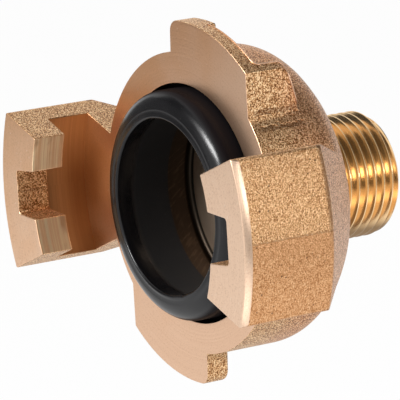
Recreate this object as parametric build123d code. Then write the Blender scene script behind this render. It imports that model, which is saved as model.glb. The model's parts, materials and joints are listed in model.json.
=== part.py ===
from build123d import *
import os
from math import radians, tan

os.makedirs("parts", exist_ok=True)

# One half of a two-claw quarter-turn coupling. Millimetres. The coupling axis is Y: the flange
# face lies at y = 0, the mating half comes from -Y and the male pipe thread leaves along +Y.
# The claws lie on +X and -X, the wings on +Z and -Z. Every feature of the body repeats once,
# half a turn round the axis, because both halves of a joined pair are the same part: the claws
# of each one hook behind the wings of the other.

# ---- tail with a parallel 3/8 pipe thread, cut at its major diameter ----
thread_major_d = 16.662
thread_length = 14.5       # shoulder to the end of the tail
thread_chamfer = 0.7
waterway_r = 5.7           # bore through the tail
waterway_chamfer = 0.4

# ---- claws ----
claw_half_angle = 21.4     # degrees
claw_height = 10.8         # flange face to the claw's tip
lip_inner_r = 21.35
lip_height = 4.35          # lip's inner face to the bottom of the groove behind it
lip_thickness = 4.7
claw_wall = 3.6            # bottom of the groove to the claw's outer face
claw_edge_r = 0.6          # cast rounding of the outer edges
tip_band_length = 1.0      # turned band at the tip's outer edge
tip_band_depth = 0.3
notch_width = 6.4          # gap in the middle of the lip, at its mouth
notch_draft = 4.0          # degrees
notch_step = 0.45          # floor of the notch above the bottom of the groove
notch_corner_r = 0.5

# ---- flange, wings and stop ribs ----
flange_r = 19.8
wing_clearance = 1.8       # wing's rim to the bottom of the mating claw's groove
wing_thickness = 2.0
step_x = -2.0              # leading end of a wing, at its rim
step_draft = 3.5           # degrees
step_corner_r = 1.6
stop_x = 15.1              # trailing end of a wing, where its stop rib stands
rib_thickness = 0.95
rib_end_y = 6.2            # rear end of the rib at the wing's rim
rib_lean = 20.0            # degrees, the rib grows deeper towards the drum
rib_corner_r = 1.3
rib_root_r = 0.8           # blend between the rib and the back of the wing

# ---- detent pad on the back of a wing, which snaps into the mating claw's notch ----
detent_clearance = 0.2
detent_thickness = 3.4     # flange face to the back of the pad
detent_edge_r = 0.5

# ---- cone behind the claws and the flange ----
cone_start_y = 2.3         # rear end of a claw's outer face
cone_angle = 47.5          # degrees from the axis
rear_cone_width = 2.8      # drum to the flat shoulder round the thread
shoulder_edge_r = 0.4
drum_edge_r = 6.0          # rounding where the drum meets the cone, between the claws

# ---- seal seat and the chamber behind it ----
pocket_r = 15.7
undercut_depth = 1.0       # recess behind the pocket's rim that keeps the seal in
undercut_start_y = 2.0
undercut_length = 2.6
seat_width = 3.2           # ledge that the seal stands on
chamber_length = 4.4
chamber_corner_r = 0.8

# ---- rubber seal ring ----
seal_radial_clearance = 0.15
seal_axial_clearance = 0.1
seal_wall_gap = 0.6        # pocket to the wall that stands proud of the flange
seal_shoulder_y = -2.3
seal_crown_inset = 1.2     # wall to the crown of the bead
seal_crown_y = -3.3
seal_width = 3.5           # wall to the front opening
seal_lip_y = -3.75
seal_lip_width = 0.6
seal_bore_widening = 0.5
seal_throat_y = 1.0        # depth at which the front opening has widened to the bore
seal_edge_r = 0.5

overlap = 0.6              # how far cutters and fused pieces reach past a face
near = 0.01                # reach of a search for edges at a known depth

# ---- values worked out from the ones above ----
thread_major_r = thread_major_d / 2
groove_r = lip_inner_r + lip_height
claw_outer_r = groove_r + claw_wall
notch_floor_r = groove_r - notch_step
groove_back_y = lip_thickness - claw_height
wing_r = groove_r - wing_clearance
detent_width = notch_width - 2 * detent_clearance
cone_end_r = flange_r - rear_cone_width
seat_y = undercut_start_y + undercut_length
undercut_r = pocket_r + undercut_depth
chamber_r = undercut_r - seat_width
chamber_end_y = seat_y + chamber_length


def cone_y(radius):
    """Where the rear cone has the given radius."""
    return cone_start_y + (claw_outer_r - radius) / tan(radians(cone_angle))


cone_end_y = cone_y(cone_end_r)
tail_end_y = cone_end_y + thread_length
front = Plane.XZ           # faces the mating half: local x is X, local y is Z, its normal is -Y


def profile(points, rounds=()):
    """Closed (radius, y) outline, with each (corner, radius) in rounds rounded."""
    face = make_face(Polyline(*points, close=True))
    for corner, radius in rounds:
        face = fillet(face.vertices().sort_by_distance(Vector(*corner))[0], radius)
    return face


def turned(points, rounds=()):
    """Full turn of an outline about the coupling axis."""
    return revolve(profile(points, rounds), Axis.Y, 360)


def both_halves(solid):
    """The feature and its copy half a turn round the coupling axis."""
    return solid + Rot(0, 180, 0) * solid


def behind_face(sketch, depth):
    """Extrude a front-view sketch from the flange face towards the thread."""
    return extrude(front * sketch, -depth)


def ringed_hub():
    """Drum, tail and one unbroken hooked ring, all turned about one axis."""
    shoulder = (cone_end_r, cone_end_y)
    return turned(
        [
            (0, 0),
            (groove_r, 0),
            (groove_r, groove_back_y),
            (lip_inner_r, groove_back_y),
            (lip_inner_r, -claw_height),
            (claw_outer_r - tip_band_depth, -claw_height),
            (claw_outer_r, tip_band_length - claw_height),
            (claw_outer_r, cone_start_y),
            shoulder,
            (thread_major_r, cone_end_y),
            (thread_major_r, tail_end_y - thread_chamfer),
            (thread_major_r - thread_chamfer, tail_end_y),
            (0, tail_end_y),
        ],
        [(shoulder, shoulder_edge_r)],
    )


def claw_gap():
    """Sector on -Z that is cleared out of the hooked ring, down to the drum."""
    angle = 180 - 2 * claw_half_angle
    outside_r = claw_outer_r + overlap
    section = profile([
        (flange_r, -claw_height - overlap),
        (outside_r, -claw_height - overlap),
        (outside_r, cone_y(flange_r) + overlap),
        (flange_r, cone_y(flange_r) + overlap),
    ])
    return Rot(0, claw_half_angle, 0) * revolve(section, Axis.Y, angle)


def hub_with_claws():
    """The two hooked claws are what is left of the ring, with cast edges and a notch each."""
    solid = ringed_hub() - both_halves(claw_gap())
    round_faces = solid.faces().filter_by(GeomType.CYLINDER).sort_by(Axis.X)
    outer_faces = (round_faces[0], round_faces[-1])
    cast_edges = [edge for face in outer_faces for edge in face.edges().sort_by(Axis.Y)[1:]]
    solid = fillet(cast_edges, claw_edge_r)
    rim = solid.edges().filter_by_position(Axis.Y, cone_y(flange_r) - near, cone_y(flange_r) + near)
    return fillet(rim, drum_edge_r) - both_halves(notch())


def notch():
    """Gap through the middle of the lip, with drafted sides and rounded floor corners."""
    mouth_r = lip_inner_r - overlap
    taper = tan(radians(notch_draft))
    half_mouth = notch_width / 2 + overlap * taper
    half_floor = notch_width / 2 - (notch_floor_r - lip_inner_r) * taper
    outline = profile(
        [(mouth_r, -half_mouth), (notch_floor_r, -half_floor), (notch_floor_r, half_floor),
         (mouth_r, half_mouth)],
        [((notch_floor_r, -half_floor), notch_corner_r), ((notch_floor_r, half_floor), notch_corner_r)],
    )
    return Pos(0, -claw_height - overlap, 0) * behind_face(outline, lip_thickness + 2 * overlap)


def wing_outline():
    """Front view of the wing on +Z, from its drafted leading step to its flat trailing end."""
    root_x = step_x - wing_r * tan(radians(step_draft))
    blank = profile([(root_x, 0), (stop_x, 0), (stop_x, wing_r), (step_x, wing_r)]) & Circle(wing_r)
    step_corner = blank.vertices().sort_by_distance(Vector(step_x, wing_r))[0]
    return fillet(step_corner, step_corner_r)


def detent():
    """Pad that thickens the wing's leading end, with a rounded rear edge."""
    reach = wing_r + overlap
    strip = profile([
        (step_x - reach, 0),
        (step_x + detent_width, 0),
        (step_x + detent_width, reach),
        (step_x - reach, reach),
    ])
    pad = behind_face(wing_outline() & strip, detent_thickness)
    rear_edges = pad.edges().group_by(Axis.Y)[-1].filter_by(Axis.X, reverse=True)
    return fillet(rear_edges, detent_edge_r)


def stop_rib():
    """Rib that stops the mating claw, flush with the rim and with a rounded corner behind it."""
    corner = (wing_r, rib_end_y)
    foot_y = rib_end_y + wing_r * tan(radians(rib_lean))
    outline = profile([(0, 0), (wing_r, 0), corner, (0, foot_y)], [(corner, rib_corner_r)])
    half_disc = Rot(0, 180, 0) * revolve(outline, Axis.Y, 180)
    slab = Box(rib_thickness, 3 * foot_y, 3 * wing_r, align=(Align.MAX, Align.CENTER, Align.CENTER))
    return half_disc & Pos(stop_x, 0, 0) * slab


def wing():
    """Flat wing on +Z with the detent pad at its leading end and the stop rib at its trailing end."""
    solid = behind_face(wing_outline(), wing_thickness) + stop_rib()
    root = Vector(stop_x - rib_thickness, wing_thickness, wing_r / 2)
    rib_root = solid.edges().filter_by(Axis.Z).sort_by_distance(root)[0]
    return fillet(rib_root, rib_root_r) + detent()


def cavity():
    """Seal pocket with its undercut, the chamber behind it and the bore through the tail."""
    chamber_corner = (chamber_r, chamber_end_y)
    return turned(
        [
            (0, -overlap),
            (pocket_r, -overlap),
            (pocket_r, undercut_start_y),
            (undercut_r, undercut_start_y),
            (undercut_r, seat_y),
            (chamber_r, seat_y),
            chamber_corner,
            (waterway_r, chamber_end_y),
            (waterway_r, tail_end_y - waterway_chamfer),
            (waterway_r + waterway_chamfer + overlap, tail_end_y + overlap),
            (0, tail_end_y + overlap),
        ],
        [(chamber_corner, chamber_corner_r)],
    )


def coupling_body():
    return hub_with_claws() + both_halves(wing()) - cavity()


def seal_ring():
    """Rubber ring: a foot held in the undercut and a bead that stands proud of the flange."""
    foot_r = undercut_r - seal_radial_clearance
    foot_y = undercut_start_y + seal_axial_clearance
    wall_r = pocket_r - seal_wall_gap
    lip_r = wall_r - seal_width
    bore_r = lip_r + seal_bore_widening
    shoulder = (wall_r, seal_shoulder_y)
    crown = (wall_r - seal_crown_inset, seal_crown_y)
    return turned(
        [
            (bore_r, seat_y),
            (foot_r, seat_y),
            (foot_r, foot_y),
            (wall_r, foot_y),
            shoulder,
            crown,
            (lip_r + seal_lip_width, seal_lip_y),
            (lip_r, seal_lip_y),
            (bore_r, seal_throat_y),
        ],
        [(shoulder, seal_edge_r), (crown, seal_edge_r)],
    )


def save(solid, name):
    solid.label = name
    export_step(solid, "parts/" + name + ".step")
    print(name, "volume", round(solid.volume, 1), "valid", solid.is_valid)


save(coupling_body(), "coupling_body")
save(seal_ring(), "seal_ring")
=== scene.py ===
import json
import math

import bmesh
import bpy
from mathutils import Matrix, Vector, noise


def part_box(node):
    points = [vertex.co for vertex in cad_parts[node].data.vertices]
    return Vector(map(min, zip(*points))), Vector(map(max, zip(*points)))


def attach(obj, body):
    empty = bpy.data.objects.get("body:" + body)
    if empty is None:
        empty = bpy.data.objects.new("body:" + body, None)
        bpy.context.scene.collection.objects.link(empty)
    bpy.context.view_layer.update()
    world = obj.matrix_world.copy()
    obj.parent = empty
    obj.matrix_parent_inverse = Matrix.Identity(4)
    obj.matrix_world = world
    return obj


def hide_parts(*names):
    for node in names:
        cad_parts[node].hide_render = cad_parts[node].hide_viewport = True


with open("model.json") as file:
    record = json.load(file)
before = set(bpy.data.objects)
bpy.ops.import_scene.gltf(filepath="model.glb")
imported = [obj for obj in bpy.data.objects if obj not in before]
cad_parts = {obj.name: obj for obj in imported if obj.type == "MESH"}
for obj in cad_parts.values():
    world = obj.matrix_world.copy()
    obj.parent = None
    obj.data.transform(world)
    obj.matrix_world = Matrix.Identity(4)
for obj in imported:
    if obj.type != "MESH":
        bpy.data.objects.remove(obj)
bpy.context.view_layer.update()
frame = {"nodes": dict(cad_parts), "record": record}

MM = 0.001
mounts = {mount["name"]: mount for mount in frame["record"]["mounts"]}


# ---------------------------------------------------------------- sizes, in millimetres

def span_along_axis(mount):
    """Start and end of a round mount's wall along the coupling axis."""
    middle = mount["pos_m"][1] / MM
    half = mount["dims"]["length_mm"] / 2
    return middle - half, middle + half


body_low, body_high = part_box("coupling_body")
seal_low, seal_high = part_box("seal_ring")

THREAD_R = mounts["male_thread"]["dims"]["r_mm"]
BORE_R = mounts["waterway"]["dims"]["r_mm"]
SHOULDER_Y, THREAD_END_Y = span_along_axis(mounts["male_thread"])
CHAMBER_END_Y, BORE_END_Y = span_along_axis(mounts["waterway"])
TAIL_END_Y = body_high.y / MM
TIP_Y = body_low.y / MM
CLAW_R = body_high.x / MM
WING_R = body_high.z / MM

LIP_R = 21.35              # inner face of a claw's lip
LIP_THICKNESS = 4.7
GROOVE_R = 25.7            # bottom of the groove behind the lip
TIP_BAND_LENGTH = 1.0
NOTCH_FLOOR_R = 25.25
CONE_START_Y = 2.3         # rear end of a claw's outer face
CONE_SLOPE = 1.0913        # how much the cone narrows for each millimetre towards the thread
WING_THICKNESS = 2.0
STOP_X = 15.1              # trailing end of a wing, with its stop rib
RIB_THICKNESS = 0.95
SEAL_POCKET_R = 16.8
NEAR = 0.03                # a face this close to a turned surface belongs to it

CHAMBER_R = 13.5
SEAL_WALL_R = 15.1
SEAL_LIP_R = 11.6
SEAL_BORE_R = 12.1
SEAL_FOOT_Y = 2.1

THREAD_PITCH = 1.337
THREAD_DEPTH = 0.856
THREAD_RUNOUT = 1.2        # length over which the thread fades out at the shoulder
CUTS_PER_TURN = 160
THREAD_FORM = [            # share of a pitch and share of the depth, from one crest to the next
    (0.00, 0.0), (0.035, 0.0), (0.07, 0.06), (0.20, 0.36), (0.33, 0.68), (0.43, 0.93), (0.47, 1.0),
    (0.53, 1.0), (0.57, 0.93), (0.67, 0.68), (0.80, 0.36), (0.93, 0.06), (0.965, 0.0),
]

EDGE_BREAK = 0.12          # edges of the casting, broken by tumbling
EDGE_ANGLE = 35            # degrees between two faces that meet in such an edge
SHARP_ANGLE = 38           # two faces that meet at less than this are shaded as one
FLASH_R = 0.14             # thin seam left on the rear edge of a wing and its rib
FLASH_START_X = 4.0
FLOOR_Z = -320


# ---------------------------------------------------------------- shader building

class Value:
    """One number of a material, so that an expression on values adds its Math nodes."""

    def __init__(self, shader, socket):
        self.shader = shader
        self.socket = socket

    def maths(self, operation, *others):
        return self.shader.node("ShaderNodeMath", {"operation": operation}, [self, *others])

    def __add__(self, other):
        return self.maths("ADD", other)

    def __radd__(self, other):
        return self.maths("ADD", other)

    def __mul__(self, other):
        return self.maths("MULTIPLY", other)

    def __rmul__(self, other):
        return self.maths("MULTIPLY", other)

    def __sub__(self, other):
        return self.maths("SUBTRACT", other)

    def __rsub__(self, other):
        return self.shader.node("ShaderNodeMath", {"operation": "SUBTRACT"}, [other, self])

    def __truediv__(self, other):
        return self.maths("DIVIDE", other)

    def __pow__(self, other):
        return self.maths("POWER", other)


class Shader:
    """A material or world under construction."""

    def __init__(self, tree):
        self.tree = tree
        tree.nodes.clear()

    def node(self, kind, settings=None, inputs=(), output=0):
        """Add a node: its settings first, then the values or links of its sockets."""
        made = self.tree.nodes.new(kind)
        for name, value in (settings or {}).items():
            setattr(made, name, value)
        pairs = inputs.items() if isinstance(inputs, dict) else enumerate(inputs)
        for key, value in pairs:
            if isinstance(value, Value):
                self.tree.links.new(value.socket, made.inputs[key])
            else:
                made.inputs[key].default_value = value
        return Value(self, made.outputs[output]) if made.outputs else None

    def ramp(self, value, stops):
        """Colour ramp with (position, colour) stops."""
        made = self.tree.nodes.new("ShaderNodeValToRGB")
        elements = made.color_ramp.elements
        while len(elements) < len(stops):
            elements.new(1.0)
        for element, (position, colour) in zip(elements, stops):
            element.position = position
            element.color = (*colour, 1.0)
        self.tree.links.new(value.socket, made.inputs[0])
        return Value(self, made.outputs[0])

    def step(self, value, low, high):
        """0 below low, 1 above high, smooth between them."""
        settings = {"interpolation_type": "SMOOTHSTEP", "clamp": True}
        return self.node("ShaderNodeMapRange", settings, [value, low, high, 0.0, 1.0])

    def mix(self, factor, first, second, blend="MIX"):
        """Mix two colours."""
        settings = {"data_type": "RGBA", "blend_type": blend, "clamp_factor": True}
        return self.node("ShaderNodeMix", settings, {0: factor, 6: first, 7: second}, 2)

    def noise(self, vector, scale, detail=2.0, roughness=0.5):
        inputs = {"Vector": vector, "Scale": scale, "Detail": detail, "Roughness": roughness}
        return self.node("ShaderNodeTexNoise", {"noise_dimensions": "3D"}, inputs)

    def combine(self, x, y, z):
        return self.node("ShaderNodeCombineXYZ", None, [x, y, z])

    def bump(self, height, distance, strength=1.0, normal=None):
        inputs = {"Strength": strength, "Distance": distance * MM, "Height": height}
        if normal:
            inputs["Normal"] = normal
        return self.node("ShaderNodeBump", None, inputs)


def rgba(red, green, blue):
    """A colour as seen on screen, 0 to 255, as the linear values that a shader takes."""
    shown = [channel / 255 for channel in (red, green, blue)]
    return (*[c / 12.92 if c <= 0.04045 else ((c + 0.055) / 1.055) ** 2.4 for c in shown], 1.0)


def new_material(name):
    material = bpy.data.materials.new(name)
    material.use_nodes = True
    return material, Shader(material.node_tree)


def part_coordinates(shader):
    """Place on the part in millimetres: the whole vector, its axial value, radius and angle."""
    place = shader.node("ShaderNodeTexCoord", None, (), "Object")
    scaled = shader.node("ShaderNodeVectorMath", {"operation": "SCALE"}, {0: place, "Scale": 1 / MM})
    split = shader.node("ShaderNodeSeparateXYZ", None, [scaled])
    x, y, z = [Value(shader, split.socket.node.outputs[axis]) for axis in range(3)]
    radius = (x * x + z * z).maths("SQRT")
    angle = z.maths("ARCTAN2", x)
    return scaled, x, y, z, radius, angle


def metal(shader, colour, roughness, normal):
    surface = shader.node("ShaderNodeBsdfPrincipled", None, {
        "Base Color": colour, "Metallic": 1.0, "Roughness": roughness, "Normal": normal,
    })
    shader.node("ShaderNodeOutputMaterial", None, [surface])


# ---------------------------------------------------------------- finishes

def band(s, value, middle, half_width, soft=0.3):
    """1 within half_width of the middle, fading to 0 over the soft distance."""
    return s.step((value - middle).maths("ABSOLUTE"), half_width + soft, half_width)


def cast_brass():
    """Sand-cast skin: crisp fine grain, small pits, pinker and greyer towards the back, with painted shade along
    the rear edge of the claws' outer faces.
    """
    material, s = new_material("cast_brass")
    place, x, y, z, radius, angle = part_coordinates(s)
    grain = s.noise(place, 5.4, 2.0, 0.6)
    clumps = s.noise(place, 1.4, 2.0, 0.5)
    patches = s.noise(place, 0.16, 2.0, 0.5)
    pits = s.node("ShaderNodeTexVoronoi", {"feature": "F1"}, {"Vector": place, "Scale": 1.1})
    pit = s.step(pits, 0.2, 0.05) * s.step(patches, 0.5, 0.6)
    cone = s.step(y, CONE_START_Y, CONE_START_Y + 0.5)
    cone = cone * s.step(radius + (y - CONE_START_Y) * CONE_SLOPE, CLAW_R - 0.7, CLAW_R - 0.3)
    outer = s.step(radius, CLAW_R - 1.2, CLAW_R - 0.5) * (1 - cone)
    below = s.step(z, 0.2, -0.2) * outer
    parting = band(s, z + (clumps - 0.5) * 0.5, 0.0, 0.05, 0.12) * s.step(grain, 0.42, 0.6)
    parting = parting * s.step(radius, NOTCH_FLOOR_R - 1, NOTCH_FLOOR_R)
    wrinkles = band(s, z.maths("ABSOLUTE") + (clumps - 0.5), 13.3, 0.1)
    wrinkles = wrinkles.maths("MAXIMUM", band(s, z.maths("ABSOLUTE") + (clumps - 0.5), 11.4, 0.1))
    wrinkles = wrinkles * s.step(y, 0.6, 1.6) * s.step(y, 8.5, 7.0) * s.step(radius, 23.0, 22.0)
    spread = 1.25 - outer * 0.5 - below * 0.25 + cone * 0.6
    tone = 0.48 + outer * 0.02 + (grain - 0.5) * 1.5 * spread + (clumps - 0.5) * 0.15
    golden = s.ramp(tone, [
        (0.26, rgba(112, 72, 40)[:3]),
        (0.42, rgba(184, 134, 88)[:3]),
        (0.54, rgba(224, 176, 128)[:3]),
        (0.72, rgba(255, 226, 182)[:3]),
    ])
    pinkish = s.mix(1.0, golden, rgba(248, 226, 226), "MULTIPLY")
    colour = s.mix(s.step(y, 3.0, 8.0) * 0.6, golden, pinkish)
    colour = s.mix(cone, colour, s.mix(1.0, golden, rgba(250, 242, 254), "MULTIPLY"))
    colour = s.mix(below * 0.8, colour, s.mix(1.0, golden, rgba(250, 240, 236), "MULTIPLY"))
    colour = s.mix(pit * 0.75, colour, rgba(84, 50, 32))
    colour = s.mix((parting + wrinkles) * 0.45, colour, rgba(96, 60, 38))
    # painted shade: darker brown along the rear edge of the claws' outer faces, on their upper part
    rear_edge_shade = s.step(y, CONE_START_Y - 0.7, CONE_START_Y - 0.3) * s.step(y, CONE_START_Y + 0.1, CONE_START_Y)
    colour = s.mix(rear_edge_shade * outer * s.step(z, -3.0, 3.0) * 0.7, colour, rgba(112, 76, 52))
    relief = grain * (1 - below * 0.4) + clumps * 0.5 - pit - parting * 0.5 - wrinkles
    metal(s, colour, 0.36 + grain * 0.2, s.bump(relief, 0.08, 1.0))
    return material


def turning_marks(s, axial, radius, angle):
    """Fine lines round the axis, as a lathe tool leaves them."""
    lines = s.combine(radius * 5.0, axial * 5.0, angle * 0.9)
    return s.noise(lines, 1.0, 4.0, 0.65)


def turned_brass():
    """Faced with a tool: satin, with fine rings round the axis, scuffs, and painted shade mixed with stains:
    warmer and darker towards the upper left, and darker in the recesses behind the claws' lips.
    """
    material, s = new_material("turned_brass")
    place, x, y, z, radius, angle = part_coordinates(s)
    marks = turning_marks(s, y, radius, angle)
    patches = s.noise(place, 0.1, 2.0, 0.5)
    scuffs = s.step(s.noise(place, 2.2, 3.0, 0.6), 0.62, 0.74)
    # painted shade mixed with stains: warmer and darker towards the upper left, broken up in patches
    shade_and_stain = s.step(z - x + (patches - 0.5) * 60, -8.0, 40.0)
    warm = s.mix(shade_and_stain, rgba(247, 216, 189), rgba(236, 186, 142))
    grit = s.noise(place, 4.5, 2.0, 0.7)
    colour = s.mix(marks * 0.45, warm, rgba(196, 150, 114))
    colour = s.mix(s.step(grit, 0.5, 0.3) * 0.3, colour, rgba(176, 128, 92))
    colour = s.mix(scuffs * 0.3, colour, rgba(255, 242, 228))
    # painted shade on the front face next to the claws, in the recesses behind their lips
    root = s.step(x.maths("ABSOLUTE"), LIP_R - 1.5, GROOVE_R) * s.step(y, -0.3, -0.1)
    colour = s.mix(s.step(y, -1.0, -0.4), colour, s.mix(1.0, colour, rgba(247, 238, 231), "MULTIPLY"))
    colour = s.mix(root * 0.25, colour, rgba(140, 96, 64))
    metal(s, colour, 0.26 + marks * 0.16, s.bump(marks + grit * 0.5, 0.014))
    return material


def lip_brass():
    """Inner faces of the lips: turned with a coarser feed, so each tool mark shows."""
    material, s = new_material("lip_brass")
    place, x, y, z, radius, angle = part_coordinates(s)
    feed = s.noise(s.combine(y * 3.2, 0.0, angle * 1.2), 1.0, 2.0, 0.6)
    smears = s.noise(s.combine(y * 0.4, z * 0.25, x * 0.1), 1.0, 2.0, 0.5)
    colour = s.mix(s.step(feed, 0.35, 0.65), rgba(255, 230, 190), rgba(236, 194, 152))
    colour = s.mix(s.step(smears, 0.5, 0.7) * 0.6, colour, rgba(176, 122, 82))
    metal(s, colour, 0.42 + feed * 0.2, s.bump(feed, 0.03))
    return material


def bright_brass():
    """Thread and lips' inner faces as the tool left them: brighter and more golden, darker towards the back of the
    groove, and with painted shade on the lower side of the thread.
    """
    material, s = new_material("bright_brass")
    place, x, y, z, radius, angle = part_coordinates(s)
    marks = turning_marks(s, y, radius, angle)
    groove = s.step(radius, LIP_R - 1, LIP_R + 1)
    # darker towards the back of the groove behind the lips, less so at the top
    groove_darkening = s.step(y, -5.6, -1.2) * groove * (1 - s.step(z, 0.0, 8.0) * 0.75)
    golden = s.mix(groove, rgba(250, 216, 168), rgba(226, 178, 132))
    golden = s.mix(groove_darkening, golden, rgba(148, 106, 70))
    deeper = s.mix(groove, rgba(220, 166, 104), rgba(112, 78, 50))
    colour = s.mix(marks * 0.6, golden, deeper)
    # painted shade: the lower side of the thread and its shoulder darker and greyer
    colour = s.mix(s.step(z, -4.8, -6.8) * (1 - groove) * 0.85, colour, rgba(116, 92, 68))
    shoulder = s.step(radius, THREAD_R + 0.2, THREAD_R + 0.6) * (1 - groove)
    metal(s, colour, 0.14 + marks * 0.1 + groove * 0.11 + shoulder * 0.1, s.bump(marks, 0.006))
    return material


def bored_brass():
    """Walls of the chamber and the bores: dark brown as painted shade, with the tool's slanting chatter, and a
    painted shadow in the chamber's corner.
    """
    material, s = new_material("bored_brass")
    place, x, y, z, radius, angle = part_coordinates(s)
    marks = turning_marks(s, y, radius, angle)
    chatter = s.noise(s.combine(angle * 26.0 + y * 1.4, y * 0.5, radius * 0.3), 1.0, 2.0, 0.5)
    # painted shade: the bored walls darkened to brown, for the little light that reaches inside
    wall = s.mix(marks * 0.5, rgba(48, 40, 34), rgba(32, 27, 23))
    wall = s.mix(s.step(chatter, 0.5, 0.7) * 0.3, wall, rgba(80, 68, 56))
    end = s.step(y, CHAMBER_END_Y - 0.3, CHAMBER_END_Y - 0.1) * s.step(radius, BORE_R, BORE_R + 0.1)
    colour = s.mix(end, wall, rgba(240, 214, 188))
    # painted shadow in the chamber's outer corner at its end
    corner_shadow = s.step(radius, CHAMBER_R - 1.0, CHAMBER_R - 0.7) * s.step(y, CHAMBER_END_Y - 1.0, CHAMBER_END_Y - 0.7)
    colour = s.mix(corner_shadow * 0.95, colour, rgba(20, 15, 10))
    metal(s, colour, 0.34 + marks * 0.15, s.bump(marks + chatter * 0.5, 0.01))
    return material


def seal_rubber():
    """Moulded black rubber: glossy where it was moulded, with fine specks of dust."""
    material, s = new_material("seal_rubber")
    place, x, y, z, radius, angle = part_coordinates(s)
    bloom = s.noise(place, 0.35, 2.0, 0.5)
    dust = s.step(s.noise(place, 6.0, 1.0, 0.4), 0.72, 0.80)
    colour = s.mix(bloom, rgba(8, 8, 9), rgba(18, 17, 19))
    # painted reflection: blue-grey low on the seal; its radius mask starts at the claws' LIP_R, outside the seal,
    # so it shows nowhere
    colour = s.mix(s.step(z, -6.0, -15.0) * s.step(radius, LIP_R, LIP_R + 0.5) * 0.8, colour, rgba(52, 49, 60))
    colour = s.mix(dust * 0.25, colour, rgba(90, 86, 80))
    surface = s.node("ShaderNodeBsdfPrincipled", None, {
        "Base Color": colour,
        "Specular IOR Level": 0.3,
        "Roughness": 0.17 + bloom * 0.1 + s.step(y, -1.6, -0.4) * 0.6,
        "Normal": s.bump(s.noise(place, 3.0, 2.0, 0.5), 0.008, 0.5),
    })
    matt = s.node("ShaderNodeBsdfDiffuse", None, {"Color": rgba(22, 18, 19)})
    wall = s.step(radius, SEAL_WALL_R - 0.7, SEAL_WALL_R - 0.15) * 0.85
    s.node("ShaderNodeOutputMaterial", None, [s.node("ShaderNodeMixShader", None, [wall, surface, matt])])
    return material


# ---------------------------------------------------------------- meshes

def new_object(name, mesh):
    made = bpy.data.objects.new(name, mesh)
    bpy.context.scene.collection.objects.link(made)
    return made


def mesh_object(name, points, faces):
    """Object from points in millimetres, with its normals made to point outwards."""
    mesh = bpy.data.meshes.new(name)
    mesh.from_pydata([Vector(point) * MM for point in points], [], faces)
    work = bmesh.new()
    work.from_mesh(mesh)
    bmesh.ops.remove_doubles(work, verts=work.verts, dist=1e-7)
    bmesh.ops.dissolve_degenerate(work, edges=work.edges, dist=1e-7)
    bmesh.ops.recalc_face_normals(work, faces=work.faces)
    work.to_mesh(mesh)
    work.free()
    return new_object(name, mesh)


def ring_mesh(name, rows, columns, joins=None):
    """Closed ring whose section is the closed list of rows; each row gives (radius, y) at an angle.

    After a full turn, row number k meets the row with the number joins[k], or k itself."""
    points = []
    for column in range(columns):
        angle = 2 * math.pi * column / columns
        for row in rows:
            radius, y = row(angle)
            points.append((radius * math.cos(angle), y, radius * math.sin(angle)))
    count = len(rows)
    same = list(range(count))
    faces = []
    for column in range(columns):
        here = column * count
        beyond = (column + 1) % columns * count
        meets = joins if joins and beyond == 0 else same
        for row in range(count):
            following = (row + 1) % count
            faces.append((here + row, beyond + meets[row], beyond + meets[following], here + following))
    return mesh_object(name, points, faces)


def fixed(radius, y):
    """A row of a ring that is the same all the way round."""
    return lambda angle: (radius, y)


def thread_radius(y, depth):
    """Radius of the pipe thread where its form has the given share of the depth."""
    fade = min(1.0, max(0.0, (y - SHOULDER_Y) / THREAD_RUNOUT))
    cut = THREAD_DEPTH * depth * (0.35 + 0.65 * fade)
    chamfer = THREAD_R - (TAIL_END_Y - THREAD_END_Y) + (TAIL_END_Y - y)
    return min(THREAD_R - cut, chamfer)


def threaded_tail():
    """Tail tube with its helical thread, reaching a little into the shoulder."""
    start = SHOULDER_Y - 0.3
    turns = math.ceil((TAIL_END_Y - start) / THREAD_PITCH) + 1
    rows = []
    for pitch in range(-1, turns):
        for share, depth in THREAD_FORM:
            def outside(angle, place=pitch + share, depth=depth):
                y = start + THREAD_PITCH * (place + angle / (2 * math.pi))
                y = min(max(y, start), TAIL_END_Y)
                return thread_radius(y, depth), y
            rows.append(outside)
    joins = [min(row + len(THREAD_FORM), len(rows) - 1) for row in range(len(rows))]
    joins += [len(rows), len(rows) + 1, len(rows) + 2]
    chamfer = TAIL_END_Y - BORE_END_Y
    wall_inside = BORE_R - 0.01
    rows.append(fixed(wall_inside + chamfer, TAIL_END_Y))
    rows.append(fixed(wall_inside, BORE_END_Y))
    rows.append(fixed(wall_inside, start))
    return ring_mesh("threaded_tail", rows, CUTS_PER_TURN, joins)


def plain_ring(name, inner, outer, start, end, columns=96):
    rows = [fixed(inner, start), fixed(outer, start), fixed(outer, end), fixed(inner, end)]
    return ring_mesh(name, rows, columns)


def cad_copy(node):
    """A merged copy of a CAD node's mesh."""
    copy = new_object(node + "_copy", frame["nodes"][node].data.copy())
    work = bmesh.new()
    work.from_mesh(copy.data)
    bmesh.ops.remove_doubles(work, verts=work.verts, dist=1e-7)
    work.to_mesh(copy.data)
    work.free()
    return copy


def apply_modifiers(target):
    depsgraph = bpy.context.evaluated_depsgraph_get()
    made = bpy.data.meshes.new_from_object(target.evaluated_get(depsgraph))
    target.modifiers.clear()
    target.data = made


def combine(target, other, operation):
    """Join or cut the target with another closed solid, which is then removed."""
    modifier = target.modifiers.new(operation, "BOOLEAN")
    modifier.operation = operation
    modifier.solver = "EXACT"
    modifier.object = other
    apply_modifiers(target)
    bpy.data.objects.remove(other)


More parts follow.
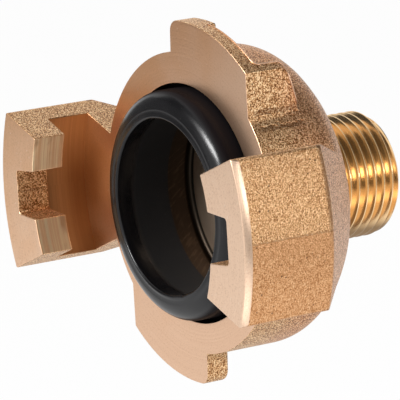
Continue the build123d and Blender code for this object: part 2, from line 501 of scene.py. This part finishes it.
def finish_of(centre, normal):
    """Finish of a face of the casting, by what the lathe reached.

    0 is cast, 1 faced, 2 bright, 3 bored and 4 a lip's inner face."""
    radius = math.hypot(centre.x, centre.z) / MM
    y = centre.y / MM
    outward = abs(normal.x * centre.x + normal.z * centre.z) / max(radius * MM, 1e-9)
    faced = any(abs(y - face) < NEAR for face in (0.0, TIP_Y, TIP_Y + LIP_THICKNESS))
    if abs(normal.y) > 0.99 and abs(y - SHOULDER_Y) < NEAR:
        return 2
    if y > SHOULDER_Y + NEAR and radius < THREAD_R + NEAR:
        return 2 if radius > BORE_R + 1.0 or abs(normal.y) > 0.9 else 3
    if NEAR < y < SHOULDER_Y - NEAR and radius < SEAL_POCKET_R:
        return 3
    if abs(normal.y) > 0.99 and faced:
        return 1
    if outward > 0.9 and y < 0 and abs(radius - LIP_R) < 3 * NEAR:
        return 4
    if outward > 0.9 and y < 0 and abs(radius - GROOVE_R) < 3 * NEAR:
        return 2
    if outward > 0.9 and radius > CLAW_R - 0.5 and y < TIP_Y + TIP_BAND_LENGTH:
        return 1
    return 0


def break_edges(body):
    """Round the casting's sharp edges a little, but leave the tail with its thread as cut."""
    work = bmesh.new()
    work.from_mesh(body.data)
    weights = work.edges.layers.float.new("bevel_weight_edge")
    for edge in work.edges:
        if len(edge.link_faces) == 2 and all(vert.co.y < (SHOULDER_Y - 1) * MM for vert in edge.verts):
            sharp = edge.is_convex and edge.calc_face_angle(0.0) > math.radians(EDGE_ANGLE)
            edge[weights] = 1.0 if sharp else 0.0
    work.to_mesh(body.data)
    work.free()
    bevel = body.modifiers.new("edges", "BEVEL")
    bevel.limit_method = "WEIGHT"
    bevel.width = EDGE_BREAK * MM
    bevel.segments = 2
    bevel.use_clamp_overlap = False
    apply_modifiers(body)
    body.data.shade_smooth()
    body.data.set_sharp_from_angle(angle=math.radians(SHARP_ANGLE))
    normals = body.modifiers.new("normals", "WEIGHTED_NORMAL")
    normals.mode = "FACE_AREA"
    normals.keep_sharp = True
    normals.weight = 60
    apply_modifiers(body)


def brass_casting():
    """The one-piece body: the casting with its turned faces and its real thread."""
    body = cad_copy("coupling_body")
    body.name = "brass_casting"
    blank = plain_ring("tail_cutter", 0.01, THREAD_R + 1.0, SHOULDER_Y + 0.02, TAIL_END_Y + 2.0)
    combine(body, blank, "DIFFERENCE")
    combine(body, threaded_tail(), "UNION")
    mesh = body.data
    mesh.materials.clear()
    for material in (cast_brass(), turned_brass(), bright_brass(), bored_brass(), lip_brass()):
        mesh.materials.append(material)
    for face in mesh.polygons:
        face.material_index = finish_of(face.center, face.normal)
    work = bmesh.new()
    work.from_mesh(mesh)
    bmesh.ops.remove_doubles(work, verts=work.verts, dist=1e-7)
    bmesh.ops.dissolve_limit(
        work, angle_limit=math.radians(0.4), verts=work.verts, edges=work.edges, delimit={"MATERIAL"}
    )
    work.to_mesh(mesh)
    work.free()
    break_edges(body)
    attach(body, "root")
    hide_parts("coupling_body")
    return body


def flash_path(turn):
    """Rear edge of a wing's rim and of its rib, for the wing on +Z or turned by half a turn."""
    inner_x = STOP_X - RIB_THICKNESS
    points = []
    for step in range(28):
        x = FLASH_START_X + (inner_x - 0.8 - FLASH_START_X) * step / 28
        points.append((x, WING_THICKNESS, math.sqrt(WING_R ** 2 - x ** 2)))
    for step in range(9):
        angle = math.radians(90 * step / 8)
        x = inner_x - 0.8 + 0.8 * math.sin(angle)
        points.append((x, WING_THICKNESS + 0.8 - 0.8 * math.cos(angle), math.sqrt(WING_R ** 2 - x ** 2)))
    z = math.sqrt(WING_R ** 2 - inner_x ** 2)
    points += [(inner_x, y, z) for y in (3.2, 3.9, 4.6, 5.2)]
    for step in range(1, 9):
        angle = math.radians(90 * step / 8)
        x = inner_x + RIB_THICKNESS * (1 - math.cos(angle))
        points.append((x, 5.29 + 1.22 * math.sin(angle), z - 1.85 * (1 - math.cos(angle))))
    points += [(STOP_X, 6.9, z - 3.1), (STOP_X, 7.25, z - 4.4), (STOP_X, 7.5, z - 5.5)]
    return [(x * turn, y, z * turn) for x, y, z in points]


def flash(name, turn, material):
    """Thin seam of metal that the mould left along a wing's rear edge."""
    path = [Vector(point) for point in flash_path(turn)]
    sides = 6
    points = []
    for index, here in enumerate(path):
        before, after = path[max(index - 1, 0)], path[min(index + 1, len(path) - 1)]
        way = (after - before).normalized()
        first = way.cross(Vector((0.31, 0.22, 0.92))).normalized()
        second = way.cross(first)
        thick = FLASH_R * (0.85 + 0.3 * noise.noise(here * 0.9))
        for side in range(sides):
            angle = 2 * math.pi * side / sides
            points.append(here + (first * math.cos(angle) + second * math.sin(angle)) * thick)
    faces = [tuple(range(sides))[::-1], tuple(range((len(path) - 1) * sides, len(path) * sides))]
    for index in range(len(path) - 1):
        for side in range(sides):
            near, far = index * sides, (index + 1) * sides
            beside = (side + 1) % sides
            faces.append((near + side, near + beside, far + beside, far + side))
    seam = mesh_object(name, points, faces)
    seam.data.materials.append(material)
    seam.data.shade_smooth()
    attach(seam, "root")


def arc(centre, radius, start, end, steps):
    """Points (radius, y) on an arc of a section, by its angles in degrees."""
    points = []
    for step in range(steps + 1):
        angle = math.radians(start + (end - start) * step / steps)
        points.append((centre[0] + radius * math.cos(angle), centre[1] + radius * math.sin(angle)))
    return points


def seal_ring():
    """Rubber ring with a rounded shoulder, a dished front and a thin lip round its opening."""
    foot_r = seal_high.x / MM
    seat_y = seal_high.y / MM
    front_y = seal_low.y / MM
    lip_edge_r = 0.3
    crown_width = SEAL_WALL_R - SEAL_LIP_R - 0.75
    crown_height = 2.1
    section = [(SEAL_BORE_R, seat_y), (foot_r, seat_y), (foot_r, SEAL_FOOT_Y), (SEAL_WALL_R, SEAL_FOOT_Y)]
    for across, along in arc((0, 0), 1.0, 0, -82, 20):
        section.append((SEAL_WALL_R - crown_width * (1 - across), front_y + 0.06 + crown_height * (1 + along)))
    section.append((SEAL_LIP_R + 0.72, front_y + 0.16))
    section += arc((SEAL_LIP_R + lip_edge_r, front_y + lip_edge_r), lip_edge_r, -55, -180, 8)
    section += [(SEAL_LIP_R + 0.05, front_y + 1.5), (SEAL_BORE_R, 1.0)]

    def row(radius, y):
        def place(angle):
            near_lip = max(0.0, 1 - abs(radius - SEAL_LIP_R) / 0.5) * max(0.0, 1 - abs(y - front_y) / 0.8)
            ragged = noise.noise(Vector((math.cos(angle) * 6, math.sin(angle) * 6, 3.0)))
            torn = max(0.0, math.cos(angle - math.radians(-80))) ** 24
            fray = noise.noise(Vector((math.cos(angle) * 40, math.sin(angle) * 40, 7.0)))
            return radius + near_lip * (0.06 * ragged + torn * (0.35 * fray - 0.25)), y
        return place

    seal = ring_mesh("rubber_seal", [row(radius, y) for radius, y in section], 360)
    seal.data.materials.append(seal_rubber())
    seal.data.shade_smooth()
    seal.data.set_sharp_from_angle(angle=math.radians(40))
    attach(seal, "root")
    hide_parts("seal_ring")


# ---------------------------------------------------------------- surroundings

def place_camera():
    camera = bpy.data.cameras.new("camera")
    holder = new_object("camera", camera)
    right = Vector((0.5468, 0.8351, -0.0589)).normalized()
    back = Vector((0.8280, -0.5291, 0.1852))
    back = (back - right * back.dot(right)).normalized()
    up = back.cross(right)
    turn = Matrix((right, up, back)).transposed().to_4x4()
    holder.matrix_world = Matrix.Translation(Vector((416.2, -264.2, 93.45)) * MM) @ turn
    camera.sensor_width = 36.0
    camera.lens = 348.9
    camera.shift_x = 0.0005
    camera.shift_y = -0.003
    camera.clip_start = 0.01
    bpy.context.scene.camera = holder


def seen_directly(s):
    """1 for the rays that show the background: from the camera, in a reflection or through glass."""
    path = s.node("ShaderNodeLightPath")
    names = ("Is Camera Ray", "Is Glossy Ray", "Is Transmission Ray")
    camera, glossy, transmission = [Value(s, path.socket.node.outputs[name]) for name in names]
    return camera.maths("MAXIMUM", glossy).maths("MAXIMUM", transmission)


def white_world():
    world = bpy.data.worlds.new("studio")
    world.use_nodes = True
    bpy.context.scene.world = world
    s = Shader(world.node_tree)
    colour = s.mix(seen_directly(s), (0.85, 0.85, 0.85, 1.0), (1.0, 1.0, 1.0, 1.0))
    background = s.node("ShaderNodeBackground", None, [colour, 1.0])
    s.node("ShaderNodeOutputWorld", None, [background])


def pale_floor():
    """Wide pale floor, well below the part, that keeps the part's shadow."""
    material, s = new_material("pale_floor")
    pale = s.node("ShaderNodeBsdfDiffuse", None, [(0.9, 0.9, 0.9, 1.0), 1.0])
    white = s.node("ShaderNodeEmission", None, [(1.0, 1.0, 1.0, 1.0), 1.0])
    both = s.node("ShaderNodeMixShader", None, [seen_directly(s) * 0.9, pale, white])
    s.node("ShaderNodeOutputMaterial", None, [both])
    reach = 8000
    corners = [(-reach, -reach), (reach, -reach), (reach, reach), (-reach, reach)]
    floor = mesh_object("floor", [(x, y, FLOOR_Z) for x, y in corners], [(0, 1, 2, 3)])
    floor.data.materials.append(material)


def soft_lamp(name, way, distance, size, power):
    """Softbox in a direction from the part."""
    lamp = bpy.data.lights.new(name, "AREA")
    lamp.shape = "RECTANGLE"
    lamp.size, lamp.size_y = size
    lamp.energy = power
    holder = new_object(name, lamp)
    place = Vector(way).normalized() * distance
    holder.matrix_world = Matrix.Translation(place) @ place.to_track_quat("Z", "Y").to_matrix().to_4x4()


def grey_card(name, way, distance, size, level):
    """Studio card that only shows in the metal, to give its reflections a dark side."""
    material, s = new_material(name)
    glow = s.node("ShaderNodeEmission", None, [(level, level, level, 1.0), 1.0])
    s.node("ShaderNodeOutputMaterial", None, [glow])
    width, height = size[0] / 2, size[1] / 2
    away = Vector(way).normalized()
    side = Vector((0, 0, 1)).cross(away).normalized()
    up = away.cross(side)
    middle = away * distance
    corners = [(-1, -1), (1, -1), (1, 1), (-1, 1)]
    points = [middle + side * (width * a) + up * (height * b) for a, b in corners]
    card = mesh_object(name, points, [(0, 1, 2, 3)])
    card.data.materials.append(material)
    card.visible_camera = False
    card.visible_diffuse = False
    card.visible_shadow = False


def studio():
    soft_lamp("key_lamp", (-0.05, -0.86, 0.5), 0.7, (0.36, 0.13), 5.6)
    soft_lamp("back_right_lamp", (0.87, 0.42, 0.22), 0.7, (0.3, 0.16), 1.2)
    soft_lamp("low_right_lamp", (0.72, 0.1, -0.67), 0.45, (0.3, 0.2), 0.25)
    grey_card("top_card", (0.4, 0.35, 0.85), 500, (640, 660), 0.08)
    grey_card("right_level_card", (0.9, 0.38, -0.1), 500, (500, 190), 0.08)
    grey_card("back_high_card", (0.4, 0.78, 0.48), 500, (780, 330), 0.1)
    grey_card("front_left_card", (-0.85, -0.5, 0.17), 260, (260, 150), 0.2)
    grey_card("front_top_card", (-0.6, -0.62, 0.55), 500, (500, 300), 0.06)


body = brass_casting()
seam_metal = turned_brass()
flash("wing_seam_plus_z", 1, seam_metal)
flash("wing_seam_minus_z", -1, seam_metal)
seal_ring()
place_camera()
white_world()
pale_floor()
studio()
bpy.context.scene.view_settings.view_transform = "Standard"
